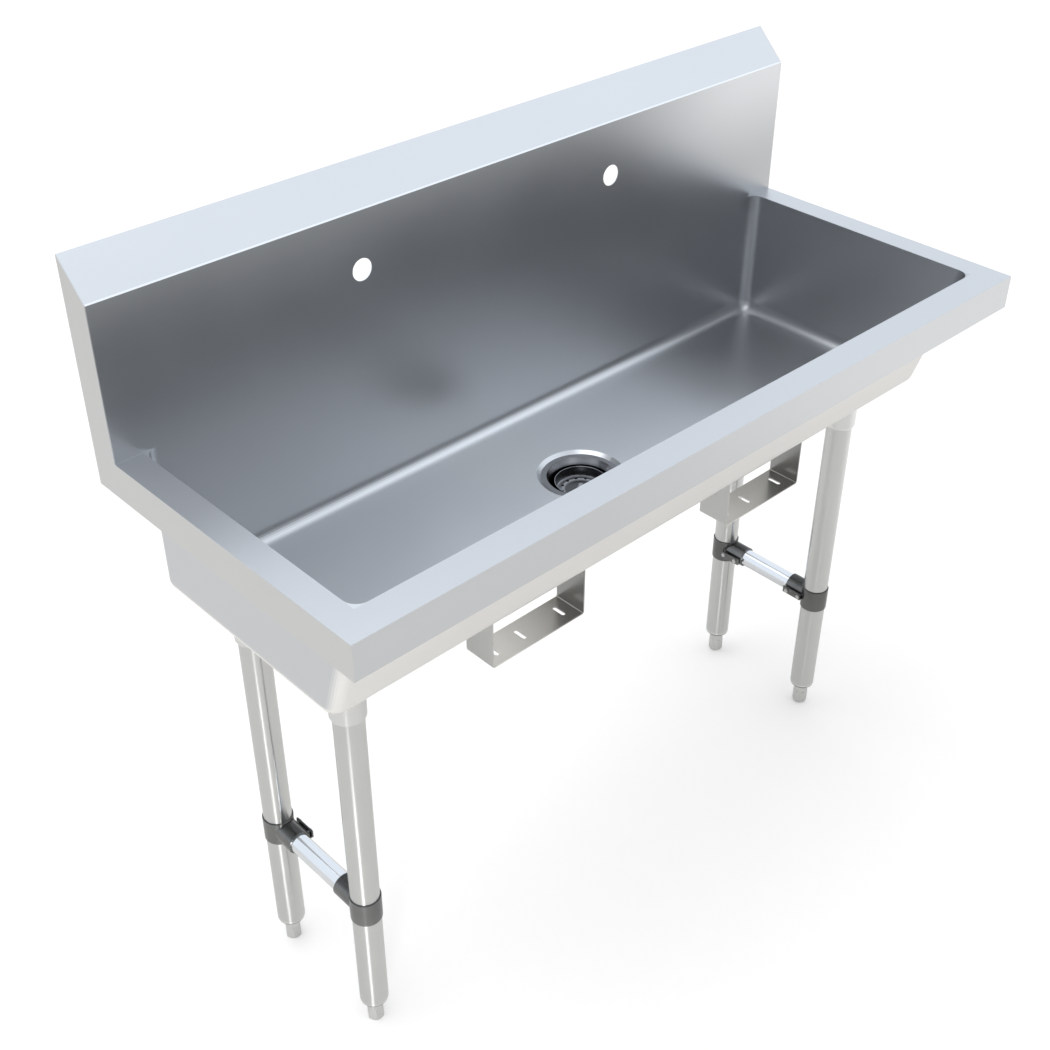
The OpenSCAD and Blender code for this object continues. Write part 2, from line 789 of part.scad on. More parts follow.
// Perforated basket that stands in the strainer's cup
module strainer_basket() {
    foot_r = basket_r - basket_draft;
    color("silver") at_drain() difference() {
        rotate_extrude() polygon([
            [basket_r, -basket_rim_drop],
            [basket_r - basket_wall, -basket_rim_drop],
            [foot_r - basket_wall, basket_wall - basket_floor],
            [basket_ring_r, basket_dome - basket_floor],
            [basket_well_r, basket_wall - basket_floor],
            [0, basket_wall - basket_floor],
            [0, -basket_floor],
            [foot_r, -basket_floor]
        ]);
        for (turn = [0 : basket_holes - 1])
            rotate([0, 0, turn * 360 / basket_holes]) translate([basket_ring_r, 0, -basket_floor - overrun])
                cylinder(h = basket_dome + 2 * overrun, r = basket_hole_r);
        translate([0, 0, -basket_floor - overrun])
            cylinder(h = basket_dome + 2 * overrun, r = post_r + running_fit);
    }
}

// Rubber disc that closes the outlet when the basket is pushed down
module basket_stopper() {
    color("black") at_drain() translate([0, 0, -stopper_bottom]) difference() {
        cylinder(h = stopper_thick, r = stopper_r);
        translate([0, 0, -overrun]) cylinder(h = stopper_thick + 2 * overrun, r = post_r + running_fit);
    }
}

// Post through the basket: a knob on top, a collar under the basket and a head under the stopper
module basket_post() {
    knob_foot = basket_wall - basket_floor;
    stopper_top = stopper_thick - stopper_bottom;
    color("silver") at_drain() rotate_extrude() polygon([
        [0, knob_foot + post_knob],
        [post_knob_r - post_r, knob_foot + post_knob],
        [post_knob_r, knob_foot + post_knob - post_r],
        [post_knob_r, knob_foot],
        [post_r, knob_foot],
        [post_r, -basket_floor],
        [post_nut_r, -basket_floor],
        [post_nut_r, -basket_floor - post_nut],
        [post_r, -basket_floor - post_nut],
        [post_r, stopper_top + post_nut],
        [post_nut_r, stopper_top + post_nut],
        [post_nut_r, stopper_top],
        [post_r, stopper_top],
        [post_r, -stopper_bottom],
        [post_nut_r, -stopper_bottom],
        [post_nut_r, -stopper_bottom - post_nut],
        [0, -stopper_bottom - post_nut]
    ]);
}

trough_wrapper();
end_wall(left);  // end_wall_left
end_wall(right);  // end_wall_right
end_panel(left);  // end_panel_left
end_panel(right);  // end_panel_right
leg_socket(left, front);  // leg_socket_front_left
leg_socket(right, front);  // leg_socket_front_right
leg_socket(left, rear);  // leg_socket_rear_left
leg_socket(right, rear);  // leg_socket_rear_right
socket_set_screws();
leg_tube(left, front);  // leg_tube_front_left
leg_tube(right, front);  // leg_tube_front_right
leg_tube(left, rear);  // leg_tube_rear_left
leg_tube(right, rear);  // leg_tube_rear_right
leg_insert(left, front);  // leg_insert_front_left
leg_insert(right, front);  // leg_insert_front_right
leg_insert(left, rear);  // leg_insert_rear_left
leg_insert(right, rear);  // leg_insert_rear_right
foot(left, front);  // foot_front_left
foot(right, front);  // foot_front_right
foot(left, rear);  // foot_rear_left
foot(right, rear);  // foot_rear_right
rail_clamp(left, front);  // rail_clamp_front_left
rail_clamp(right, front);  // rail_clamp_front_right
rail_clamp(left, rear);  // rail_clamp_rear_left
rail_clamp(right, rear);  // rail_clamp_rear_right
clamp_screws();
cross_rail(left);  // cross_rail_left
cross_rail(right);  // cross_rail_right
valve_bracket(left);  // valve_bracket_left
valve_bracket(right);  // valve_bracket_right
strainer_body();
strainer_gasket();
strainer_washer();
strainer_locknut();
tailpiece_washer();
tailpiece();
coupling_nut();
strainer_basket();
basket_stopper();
basket_post();
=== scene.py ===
import math
import bpy
import bmesh
from mathutils import Matrix, Vector

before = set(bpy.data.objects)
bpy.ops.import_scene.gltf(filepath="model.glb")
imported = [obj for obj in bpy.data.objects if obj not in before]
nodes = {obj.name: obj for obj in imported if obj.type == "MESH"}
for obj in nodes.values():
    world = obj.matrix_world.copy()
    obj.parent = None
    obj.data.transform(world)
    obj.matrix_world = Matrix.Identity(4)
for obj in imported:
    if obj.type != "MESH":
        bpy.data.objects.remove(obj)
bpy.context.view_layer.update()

sides = ("left", "right")
rows = ("front", "rear")


def newGroup(name, inputs, outputs):
    group = bpy.data.node_groups.new(name, "ShaderNodeTree")
    for label, kind, value in inputs:
        socket = group.interface.new_socket(label, in_out="INPUT", socket_type=kind)
        if value is not None:
            socket.default_value = value
    for label, kind in outputs:
        group.interface.new_socket(label, in_out="OUTPUT", socket_type=kind)
    source = group.nodes.new("NodeGroupInput")
    sink = group.nodes.new("NodeGroupOutput")
    return group, source, sink


def addNode(tree, kind, **settings):
    node = tree.nodes.new(kind)
    for key, value in settings.items():
        if key in node.inputs:
            node.inputs[key].default_value = value
        else:
            setattr(node, key, value)
    return node


def mathNode(tree, operation, first, second=None, clamp=False):
    node = addNode(tree, "ShaderNodeMath", operation=operation, use_clamp=clamp)
    for socket, value in zip(node.inputs, (first, second)):
        if value is None:
            continue
        if isinstance(value, (int, float)):
            socket.default_value = value
        else:
            tree.links.new(value, socket)
    return node.outputs[0]


def makeBrushGroup():
    # fine brush lines stretched along one axis, and soft cloudy wear
    group, source, sink = newGroup(
        "brushedGrain",
        [("Stretch", "NodeSocketVector", (6, 900, 900)), ("Cloud Size", "NodeSocketFloat", 6.0),
         ("Line Strength", "NodeSocketFloat", 0.5)],
        [("Lines", "NodeSocketFloat"), ("Clouds", "NodeSocketFloat")])
    coords = addNode(group, "ShaderNodeTexCoord")
    stretch = addNode(group, "ShaderNodeVectorMath", operation="MULTIPLY")
    group.links.new(coords.outputs["Object"], stretch.inputs[0])
    group.links.new(source.outputs["Stretch"], stretch.inputs[1])
    lines = addNode(group, "ShaderNodeTexNoise", Scale=1.0, Detail=3.0, Roughness=0.6)
    group.links.new(stretch.outputs[0], lines.inputs["Vector"])
    soft = mathNode(group, "MULTIPLY", mathNode(group, "SUBTRACT", lines.outputs["Fac"], 0.5),
                    source.outputs["Line Strength"])
    group.links.new(mathNode(group, "ADD", soft, 0.5, True), sink.inputs["Lines"])
    clouds = addNode(group, "ShaderNodeTexNoise", Detail=2.0, Roughness=0.5)
    group.links.new(coords.outputs["Object"], clouds.inputs["Vector"])
    group.links.new(source.outputs["Cloud Size"], clouds.inputs["Scale"])
    group.links.new(clouds.outputs["Fac"], sink.inputs["Clouds"])
    return group


brushGroup = makeBrushGroup()


bowlInside = {
    "heart": (0, 0, 0.95),
    "frontEdge": -0.2066,
    "rearEdge": 0.2035,
    "endEdge": 0.5716,
    "rimTop": 0.8802,
    "slopeFoot": 1.0868,
}


def makeInsideGroup():
    # 1 on the inside of the bowl and the face of the backsplash, 0 on the outside; it marks where the
    # painted reflections and shade of the inside go
    group, source, sink = newGroup("bowlInside", [], [("Inside", "NodeSocketFloat")])
    coords = addNode(group, "ShaderNodeTexCoord")
    place = addNode(group, "ShaderNodeSeparateXYZ")
    group.links.new(coords.outputs["Object"], place.inputs[0])
    inward = addNode(group, "ShaderNodeVectorMath", operation="SUBTRACT")
    inward.inputs[0].default_value = bowlInside["heart"]
    group.links.new(coords.outputs["Object"], inward.inputs[1])
    facing = addNode(group, "ShaderNodeVectorMath", operation="DOT_PRODUCT")
    group.links.new(inward.outputs[0], facing.inputs[0])
    group.links.new(coords.outputs["Normal"], facing.inputs[1])
    tests = [
        mathNode(group, "GREATER_THAN", facing.outputs["Value"], 0.0),
        mathNode(group, "GREATER_THAN", place.outputs["Y"], bowlInside["frontEdge"]),
        mathNode(group, "LESS_THAN", place.outputs["Y"], bowlInside["rearEdge"]),
        mathNode(group, "LESS_THAN", place.outputs["Z"], bowlInside["slopeFoot"]),
        mathNode(group, "MAXIMUM",
                 mathNode(group, "LESS_THAN", mathNode(group, "ABSOLUTE", place.outputs["X"]),
                          bowlInside["endEdge"]),
                 mathNode(group, "GREATER_THAN", place.outputs["Z"], bowlInside["rimTop"])),
    ]
    inside = tests[0]
    for test in tests[1:]:
        inside = mathNode(group, "MULTIPLY", inside, test)
    group.links.new(inside, sink.inputs["Inside"])
    return group


insideGroup = makeInsideGroup()


def newMaterial(name):
    material = bpy.data.materials.new(name)
    material.use_nodes = True
    tree = material.node_tree
    shader = tree.nodes["Principled BSDF"]
    return material, tree, shader


def greyRamp(tree, value, tones):
    # grey tones at values of a socket, smooth from one to the next
    low, high = tones[0][0], tones[-1][0]
    span = addNode(tree, "ShaderNodeMapRange", **{"From Min": low, "From Max": high})
    tree.links.new(value, span.inputs["Value"])
    ramp = addNode(tree, "ShaderNodeFloatCurve")
    curve = ramp.mapping.curves[0]
    top = max(grey for _, grey in tones)
    while len(curve.points) < len(tones):
        curve.points.new(0.5, 0.5)
    for point, (mark, grey) in zip(curve.points, tones):
        point.location = ((mark - low) / (high - low), grey / top)
        point.handle_type = "AUTO_CLAMPED"
    ramp.mapping.update()
    tree.links.new(span.outputs["Result"], ramp.inputs["Value"])
    return mathNode(tree, "MULTIPLY", ramp.outputs["Value"], top)


def placeNodes(tree):
    # the place on the part and the way its surface faces, each as X, Y and Z
    coords = addNode(tree, "ShaderNodeTexCoord")
    place = addNode(tree, "ShaderNodeSeparateXYZ")
    facing = addNode(tree, "ShaderNodeSeparateXYZ")
    tree.links.new(coords.outputs["Object"], place.inputs[0])
    tree.links.new(coords.outputs["Normal"], facing.inputs[0])
    return place, facing, coords


def softStep(tree, value, start, end):
    step = addNode(tree, "ShaderNodeMapRange", interpolation_type="SMOOTHSTEP",
                   **{"From Min": start, "From Max": end})
    tree.links.new(value, step.inputs["Value"])
    return step.outputs["Result"]


def blend(tree, factor, first, second):
    # numbers or sockets, first where the factor is 0
    mix = addNode(tree, "ShaderNodeMix", data_type="FLOAT")
    tree.links.new(factor, mix.inputs["Factor"])
    for name, item in (("A", first), ("B", second)):
        if hasattr(item, "links"):
            tree.links.new(item, mix.inputs[name])
        else:
            mix.inputs[name].default_value = item
    return mix.outputs["Result"]


def heightTones(tones):
    # tones that change with height alone
    def build(tree):
        place, _, _ = placeNodes(tree)
        return greyRamp(tree, place.outputs["Z"], tones)
    return build


# painted shade across each tube, by the way its surface faces
tubeSideShade = {
    "across": (0.727, -0.687, 0.0),
    "sides": [(-1.0, 0.94), (-0.5, 0.93), (0.1, 0.96), (0.7, 1.0), (1.0, 1.08)],
}


def tubePaintedLightTone(tones):
    # painted highlight on the rolled ends by height, and painted shade that keeps the left side of
    # each tube a little darker than its right side
    def build(tree):
        place, _, coords = placeNodes(tree)
        across = addNode(tree, "ShaderNodeVectorMath", operation="DOT_PRODUCT")
        across.inputs[1].default_value = tubeSideShade["across"]
        tree.links.new(coords.outputs["Normal"], across.inputs[0])
        return mathNode(tree, "MULTIPLY", greyRamp(tree, place.outputs["Z"], tones),
                        greyRamp(tree, across.outputs["Value"], tubeSideShade["sides"]))
    return build


topFacePaintedShade = {"steepest": 0.6, "level": 0.9, "tone": 0.35}


def topFacePaintedShadeTone(tree):
    # painted shade: the moulded clamps are made almost black on their upward faces
    _, facing, _ = placeNodes(tree)
    upward = softStep(tree, facing.outputs["Z"], topFacePaintedShade["steepest"], topFacePaintedShade["level"])
    return blend(tree, upward, 1.0, topFacePaintedShade["tone"])


# painted shade and highlights inside the drain, as grey tones by height
cupPaintedLight = {
    "axisY": 0.025,
    "throat": 0.6642,
    "outside": 0.85,
    "outward": 0.001,
    "downward": -0.3,
    "strainer": [(0.640, 0.06), (0.659, 0.12), (0.6642, 0.42), (0.669, 0.82), (0.6725, 0.72)],
    "basket": [(0.6485, 0.04), (0.6500, 0.28), (0.6508, 0.36), (0.6511, 0.90), (0.6528, 0.20),
               (0.6630, 0.20), (0.6648, 1.0)],
}


def cupPaintedLightTone(cup):
    # painted shade inside the drain, darker deeper down, with pale bands at the rims as painted
    # highlights; clean steel on the outside of the cup
    def build(tree):
        place, facing, _ = placeNodes(tree)
        spread = addNode(tree, "ShaderNodeVectorMath", operation="DOT_PRODUCT")
        fromAxis = addNode(tree, "ShaderNodeCombineXYZ")
        tree.links.new(place.outputs["X"], fromAxis.inputs["X"])
        tree.links.new(mathNode(tree, "SUBTRACT", place.outputs["Y"], cupPaintedLight["axisY"]),
                       fromAxis.inputs["Y"])
        outward = addNode(tree, "ShaderNodeCombineXYZ")
        tree.links.new(facing.outputs["X"], outward.inputs["X"])
        tree.links.new(facing.outputs["Y"], outward.inputs["Y"])
        tree.links.new(fromAxis.outputs[0], spread.inputs[0])
        tree.links.new(outward.outputs[0], spread.inputs[1])
        outer = mathNode(tree, "MAXIMUM",
                         mathNode(tree, "GREATER_THAN", spread.outputs["Value"], cupPaintedLight["outward"]),
                         mathNode(tree, "LESS_THAN", facing.outputs["Z"], cupPaintedLight["downward"]))
        low = mathNode(tree, "LESS_THAN", place.outputs["Z"], cupPaintedLight["throat"])
        return blend(tree, mathNode(tree, "MULTIPLY", outer, low),
                     greyRamp(tree, place.outputs["Z"], cupPaintedLight[cup]), cupPaintedLight["outside"])
    return build


# painted reflections, shade and highlights of the bowl, as grey factors by place
bowlPaintedLight = {
    "wall": [(-0.60, 0.63), (-0.20, 0.62), (0.20, 0.65), (0.60, 0.76)],
    "floor": [(-0.60, 1.12), (-0.35, 1.26), (-0.05, 1.42), (0.20, 1.25), (0.42, 0.87), (0.60, 0.90)],
    "floorFacing": (0.45, 0.98),
    "upperRightHighlight": 1.50,
    "upperRightZ": (0.92, 1.10),
    "upperRightX": (0.20, 0.52),
    "slope": 1.14,
    "foldHighlight": 1.42,
    "foldHeight": 0.0018,
    "leaningWallReflection": [(-0.60, 1.42), (0.00, 1.32), (0.35, 1.14), (0.60, 1.02)],
    "leaningFacing": (-0.05, -0.25),
    "leaningWarmReflection": (1.035, 1.0, 0.955),
}


def bowlPaintedLightTone(tree):
    # painted reflections and shade: inside, the floor is paler than the walls and the upper right of
    # the backsplash brighter; outside, the slope and the leaning wall are paler, with a painted
    # highlight along the slope's fold
    place, facing, _ = placeNodes(tree)
    mask = addNode(tree, "ShaderNodeGroup", node_tree=insideGroup)
    inside = blend(tree, softStep(tree, facing.outputs["Z"], *bowlPaintedLight["floorFacing"]),
                   greyRamp(tree, place.outputs["X"], bowlPaintedLight["wall"]),
                   greyRamp(tree, place.outputs["X"], bowlPaintedLight["floor"]))
    # painted bright reflection on the upper right of the backsplash
    highlightPatch = mathNode(tree, "MULTIPLY", softStep(tree, place.outputs["Z"], *bowlPaintedLight["upperRightZ"]),
                      softStep(tree, place.outputs["X"], *bowlPaintedLight["upperRightX"]))
    inside = mathNode(tree, "MULTIPLY", inside, blend(tree, highlightPatch, 1.0, bowlPaintedLight["upperRightHighlight"]))
    # above the slope's foot: a thin painted highlight along the fold, and the slope above it painted
    # paler
    outside = blend(tree, mathNode(tree, "GREATER_THAN", place.outputs["Z"], bowlInside["slopeFoot"]),
                    1.0, bowlPaintedLight["foldHighlight"])
    foldTop = bowlInside["slopeFoot"] + bowlPaintedLight["foldHeight"]
    outside = blend(tree, mathNode(tree, "GREATER_THAN", place.outputs["Z"], foldTop),
                    outside, bowlPaintedLight["slope"])
    # the leaning front wall painted paler and warmer, as a reflection of the floor
    leaning = softStep(tree, facing.outputs["Z"], *bowlPaintedLight["leaningFacing"])
    outside = blend(tree, leaning, outside,
                    greyRamp(tree, place.outputs["X"], bowlPaintedLight["leaningWallReflection"]))
    grey = blend(tree, mask.outputs["Inside"], outside, inside)
    warmReflection = addNode(tree, "ShaderNodeMix", data_type="RGBA", blend_type="MULTIPLY")
    tree.links.new(leaning, warmReflection.inputs["Factor"])
    tree.links.new(grey, warmReflection.inputs["A"])
    warmReflection.inputs["B"].default_value = (*bowlPaintedLight["leaningWarmReflection"], 1)
    return warmReflection.outputs["Result"]


# painted light and shade across each bracket
bracketPaintedLight = {
    "centre": 0.2286,
    "tones": [(-0.085, 0.88), (-0.07, 1.42), (-0.01, 1.14), (0.05, 0.80), (0.09, 0.61)],
}


def bracketPaintedLightTone(tree):
    # painted light and shade: both brackets are pale on their left plates and darken towards their
    # right plates
    place, _, _ = placeNodes(tree)
    side = mathNode(tree, "SIGN", place.outputs["X"])
    along = mathNode(tree, "SUBTRACT", place.outputs["X"],
                     mathNode(tree, "MULTIPLY", side, bracketPaintedLight["centre"]))
    return greyRamp(tree, along, bracketPaintedLight["tones"])


metalMix = {
    "tintShare": 0.6,
    "roughClouds": 0.65,
    "roughLines": 0.35,
    "grainRange": (0.25, 0.75),
    "cloudSize": 6.0,
    "bumpDistance": 0.0004,
    "quarterTurn": 0.25,
}


def streakUpright(tree, shader, streak):
    # brush lines run round the tube, so highlights run up and down it
    shader.inputs["Anisotropic"].default_value = streak
    tangent = addNode(tree, "ShaderNodeTangent", direction_type="RADIAL", axis="Z")
    tree.links.new(tangent.outputs["Tangent"], shader.inputs["Tangent"])
    shader.inputs["Anisotropic Rotation"].default_value = metalMix["quarterTurn"]


def timesPaintedLight(tree, colour, paintedLightTone):
    # a colour multiplied by painted light and shade that depend on the place
    shaded = addNode(tree, "ShaderNodeVectorMath", operation="MULTIPLY")
    tree.links.new(colour, shaded.inputs[0])
    tree.links.new(paintedLightTone(tree), shaded.inputs[1])
    return shaded.outputs[0]


def brushedMetal(name, colour, dark, roughness, stretch, lineStrength=0.5, bump=0.04,
                 roughSpread=0.10, paintedLightTone=None, streak=0.0):
    material, tree, shader = newMaterial(name)
    grain = addNode(tree, "ShaderNodeGroup", node_tree=brushGroup)
    grain.inputs["Stretch"].default_value = stretch
    grain.inputs["Cloud Size"].default_value = metalMix["cloudSize"]
    grain.inputs["Line Strength"].default_value = lineStrength
    tint = addNode(tree, "ShaderNodeMix", data_type="RGBA")
    tint.inputs["A"].default_value = (*dark, 1)
    tint.inputs["B"].default_value = (*colour, 1)
    mixed = mathNode(tree, "ADD",
                     mathNode(tree, "MULTIPLY", grain.outputs["Lines"], metalMix["tintShare"]),
                     mathNode(tree, "MULTIPLY", grain.outputs["Clouds"], metalMix["tintShare"]), True)
    tree.links.new(mixed, tint.inputs["Factor"])
    tinted = tint.outputs["Result"]
    # painted light and shade, for the parts that have them
    if paintedLightTone is not None:
        tinted = timesPaintedLight(tree, tinted, paintedLightTone)
    tree.links.new(tinted, shader.inputs["Base Color"])
    finest, coarsest = metalMix["grainRange"]
    rough = addNode(tree, "ShaderNodeMapRange", **{
        "From Min": finest, "From Max": coarsest,
        "To Min": roughness - roughSpread / 2, "To Max": roughness + roughSpread / 2})
    together = mathNode(tree, "ADD",
                        mathNode(tree, "MULTIPLY", grain.outputs["Clouds"], metalMix["roughClouds"]),
                        mathNode(tree, "MULTIPLY", grain.outputs["Lines"], metalMix["roughLines"]))
    tree.links.new(together, rough.inputs["Value"])
    tree.links.new(rough.outputs["Result"], shader.inputs["Roughness"])
    shader.inputs["Metallic"].default_value = 1.0
    if streak > 0:
        streakUpright(tree, shader, streak)
    if bump > 0:
        bumpNode = addNode(tree, "ShaderNodeBump", Strength=bump, Distance=metalMix["bumpDistance"])
        tree.links.new(grain.outputs["Lines"], bumpNode.inputs["Height"])
        tree.links.new(bumpNode.outputs["Normal"], shader.inputs["Normal"])
    return material


speckle = {"broadDivisor": 25, "roughSpread": 0.16, "bumpDistance": 0.0005}


def speckled(name, colour, dark, roughness, scale, bump, metallic=0.0, paintedLightTone=None, streak=0.0):
    # fine specks in the roughness and the bump, broad soft patches in the colour
    material, tree, shader = newMaterial(name)
    coords = addNode(tree, "ShaderNodeTexCoord")
    fine = addNode(tree, "ShaderNodeTexNoise", Scale=scale, Detail=4.0, Roughness=0.6)
    broad = addNode(tree, "ShaderNodeTexNoise", Scale=scale / speckle["broadDivisor"], Detail=2.0,
                    Roughness=0.5)
    tree.links.new(coords.outputs["Object"], fine.inputs["Vector"])
    tree.links.new(coords.outputs["Object"], broad.inputs["Vector"])
    tint = addNode(tree, "ShaderNodeMix", data_type="RGBA")
    tint.inputs["A"].default_value = (*dark, 1)
    tint.inputs["B"].default_value = (*colour, 1)
    tree.links.new(broad.outputs["Fac"], tint.inputs["Factor"])
    tinted = tint.outputs["Result"]
    # painted light and shade, for the parts that have them
    if paintedLightTone is not None:
        tinted = timesPaintedLight(tree, tinted, paintedLightTone)
    tree.links.new(tinted, shader.inputs["Base Color"])
    halfSpread = speckle["roughSpread"] / 2
    rough = addNode(tree, "ShaderNodeMapRange", **{
        "To Min": roughness - halfSpread, "To Max": roughness + halfSpread})
    tree.links.new(fine.outputs["Fac"], rough.inputs["Value"])
    tree.links.new(rough.outputs["Result"], shader.inputs["Roughness"])
    shader.inputs["Metallic"].default_value = metallic
    if streak > 0:
        streakUpright(tree, shader, streak)
    bumpNode = addNode(tree, "ShaderNodeBump", Strength=bump, Distance=speckle["bumpDistance"])
    tree.links.new(fine.outputs["Fac"], bumpNode.inputs["Height"])
    tree.links.new(bumpNode.outputs["Normal"], shader.inputs["Normal"])
    return material


# steel of the bowl and its ends: no lines and no bump, which would be finer than a pixel; the bowl
# carries painted reflections and shade
bowlSteel = {
    "name": "bowlSteel", "colour": (0.70, 0.712, 0.732), "dark": (0.66, 0.672, 0.692),
    "roughness": 0.33, "roughSpread": 0.08, "stretch": (5, 300, 300),
    "lineStrength": 0.0, "bump": 0.0, "paintedLightTone": bowlPaintedLightTone,
}
endSteel = {
    "name": "endSteel", "colour": (0.73, 0.73, 0.73), "dark": (0.67, 0.67, 0.67),
    "roughness": 0.33, "roughSpread": 0.06, "stretch": (300, 5, 300),
    "lineStrength": 0.0, "bump": 0.0,
}

# sockets and legs: a painted highlight on the lip or rolled end at the bottom
socketSteel = {
    "name": "socketSteel", "colour": (0.82, 0.82, 0.81), "dark": (0.74, 0.74, 0.73),
    "roughness": 0.22, "roughSpread": 0.06, "stretch": (120, 120, 900), "bump": 0.0, "streak": 0.93,
    # painted highlight on the socket's bottom lip
    "paintedLightTone": heightTones([(0.585, 1.28), (0.5952, 1.28), (0.5966, 1.0), (0.690, 1.0)]),
}
legSteel = {
    "name": "legSteel", "colour": (0.745, 0.745, 0.735), "dark": (0.655, 0.655, 0.645),
    "roughness": 0.24, "roughSpread": 0.04, "stretch": (160, 160, 4), "bump": 0.0, "streak": 0.92,
    # painted highlight on the rolled end, painted shade on the left side of the tube
    "paintedLightTone": tubePaintedLightTone([(0.040, 1.25), (0.0472, 1.25), (0.0486, 1.0), (0.120, 1.0)]),
}
railSteel = {
    "name": "railSteel", "colour": (0.86, 0.88, 0.91), "dark": (0.76, 0.78, 0.81),
    "roughness": 0.16, "stretch": (160, 4, 160), "bump": 0.0,
}
footSteel = {
    "name": "footSteel", "colour": (0.76, 0.76, 0.75), "dark": (0.66, 0.66, 0.65),
    "roughness": 0.33, "roughSpread": 0.06, "stretch": (120, 120, 900),
}
bracketSteel = {
    "name": "bracketSteel", "colour": (0.58, 0.58, 0.57), "dark": (0.46, 0.46, 0.45),
    "roughness": 0.24, "roughSpread": 0.04, "stretch": (700, 700, 700),
    # painted light and shade across the bracket
    "lineStrength": 0.6, "bump": 0.0, "paintedLightTone": bracketPaintedLightTone,
}

# the drain and what hangs under it; the strainer and the basket carry painted shade and highlights
# inside
strainerSteel = {
    "name": "strainerSteel", "colour": (0.62, 0.62, 0.64), "dark": (0.54, 0.54, 0.56),
    "roughness": 0.22, "stretch": (90, 90, 600), "paintedLightTone": cupPaintedLightTone("strainer"),
}
basketSteel = {
    "name": "basketSteel", "colour": (0.66, 0.66, 0.68), "dark": (0.58, 0.58, 0.60),
    "roughness": 0.21, "stretch": (90, 90, 600), "paintedLightTone": cupPaintedLightTone("basket"),
}
knobSteel = {
    "name": "knobSteel", "colour": (0.66, 0.66, 0.68), "dark": (0.58, 0.58, 0.60),
    "roughness": 0.20, "stretch": (90, 90, 600),
}
screwSteel = {
    "name": "screwSteel", "colour": (0.62, 0.62, 0.62), "dark": (0.50, 0.50, 0.50),
    "roughness": 0.35, "stretch": (200, 200, 200),
}
pipeChrome = {
    "name": "pipeChrome", "colour": (0.74, 0.75, 0.77), "dark": (0.70, 0.71, 0.73),
    "roughness": 0.10, "roughSpread": 0.05, "stretch": (60, 60, 300), "bump": 0.01,
}
castBrass = {
    "name": "castBrass", "colour": (0.60, 0.46, 0.24), "dark": (0.46, 0.34, 0.17),
    "roughness": 0.45, "scale": 900, "bump": 0.15, "metallic": 1.0,
}
blackRubber = {
    "name": "blackRubber", "colour": (0.030, 0.030, 0.030), "dark": (0.015, 0.015, 0.015),
    "roughness": 0.75, "scale": 1800, "bump": 0.15,
}
fibreWasher = {
    "name": "fibreWasher", "colour": (0.46, 0.33, 0.19), "dark": (0.36, 0.25, 0.14),
    "roughness": 0.80, "scale": 1500, "bump": 0.20,
}
whiteWasher = {
    "name": "whiteWasher", "colour": (0.78, 0.78, 0.75), "dark": (0.70, 0.70, 0.67),
    "roughness": 0.45, "scale": 900, "bump": 0.05,
}

# clamps and leg plugs: moulded, with a faint metallic sheen as in the photograph
darkPlastic = {
    "name": "darkPlastic", "colour": (0.24, 0.24, 0.236), "dark": (0.11, 0.11, 0.107),
    "roughness": 0.22, "scale": 500, "bump": 0.06, "metallic": 0.85,
    # painted shade on the upward faces of clamps and plugs
    "paintedLightTone": topFacePaintedShadeTone, "streak": 0.8,
}

finish = {
    "bowl": brushedMetal(**bowlSteel),
    "end": brushedMetal(**endSteel),
    "socket": brushedMetal(**socketSteel),
    "leg": brushedMetal(**legSteel),
    "rail": brushedMetal(**railSteel),
    "foot": brushedMetal(**footSteel),
    "bracket": brushedMetal(**bracketSteel),
    "strainer": brushedMetal(**strainerSteel),
    "basket": brushedMetal(**basketSteel),
    "knob": brushedMetal(**knobSteel),
    "screw": brushedMetal(**screwSteel),
    "chrome": brushedMetal(**pipeChrome),
    "brass": speckled(**castBrass),
    "plastic": speckled(**darkPlastic),
    "rubber": speckled(**blackRubber),
    "fibre": speckled(**fibreWasher),
    "white": speckled(**whiteWasher),
}
print("finishes made:", len(finish))


# every CAD node takes its finish here

def dress(name, material):
    slots = nodes[name].data.materials
    slots.clear()
    slots.append(finish[material])


dress("trough_wrapper", "bowl")
for side in sides:
    dress(f"end_wall_{side}", "bowl")
    dress(f"end_panel_{side}", "end")
    dress(f"cross_rail_{side}", "rail")
    dress(f"valve_bracket_{side}", "bracket")
    for row in rows:
        dress(f"leg_socket_{row}_{side}", "socket")
        dress(f"leg_tube_{row}_{side}", "leg")
        dress(f"leg_insert_{row}_{side}", "plastic")
        dress(f"foot_{row}_{side}", "foot")
        dress(f"rail_clamp_{row}_{side}", "plastic")
for name, material in {
        "socket_set_screws": "screw", "clamp_screws": "screw", "strainer_body": "strainer",
        "strainer_gasket": "rubber", "strainer_washer": "fibre", "strainer_locknut": "brass",
        "tailpiece_washer": "white", "tailpiece": "chrome", "coupling_nut": "chrome",
        "strainer_basket": "basket", "basket_stopper": "rubber", "basket_post": "knob"}.items():
    dress(name, material)
print("nodes dressed")


# soft studio: floor, sky, lamps and the photograph's camera

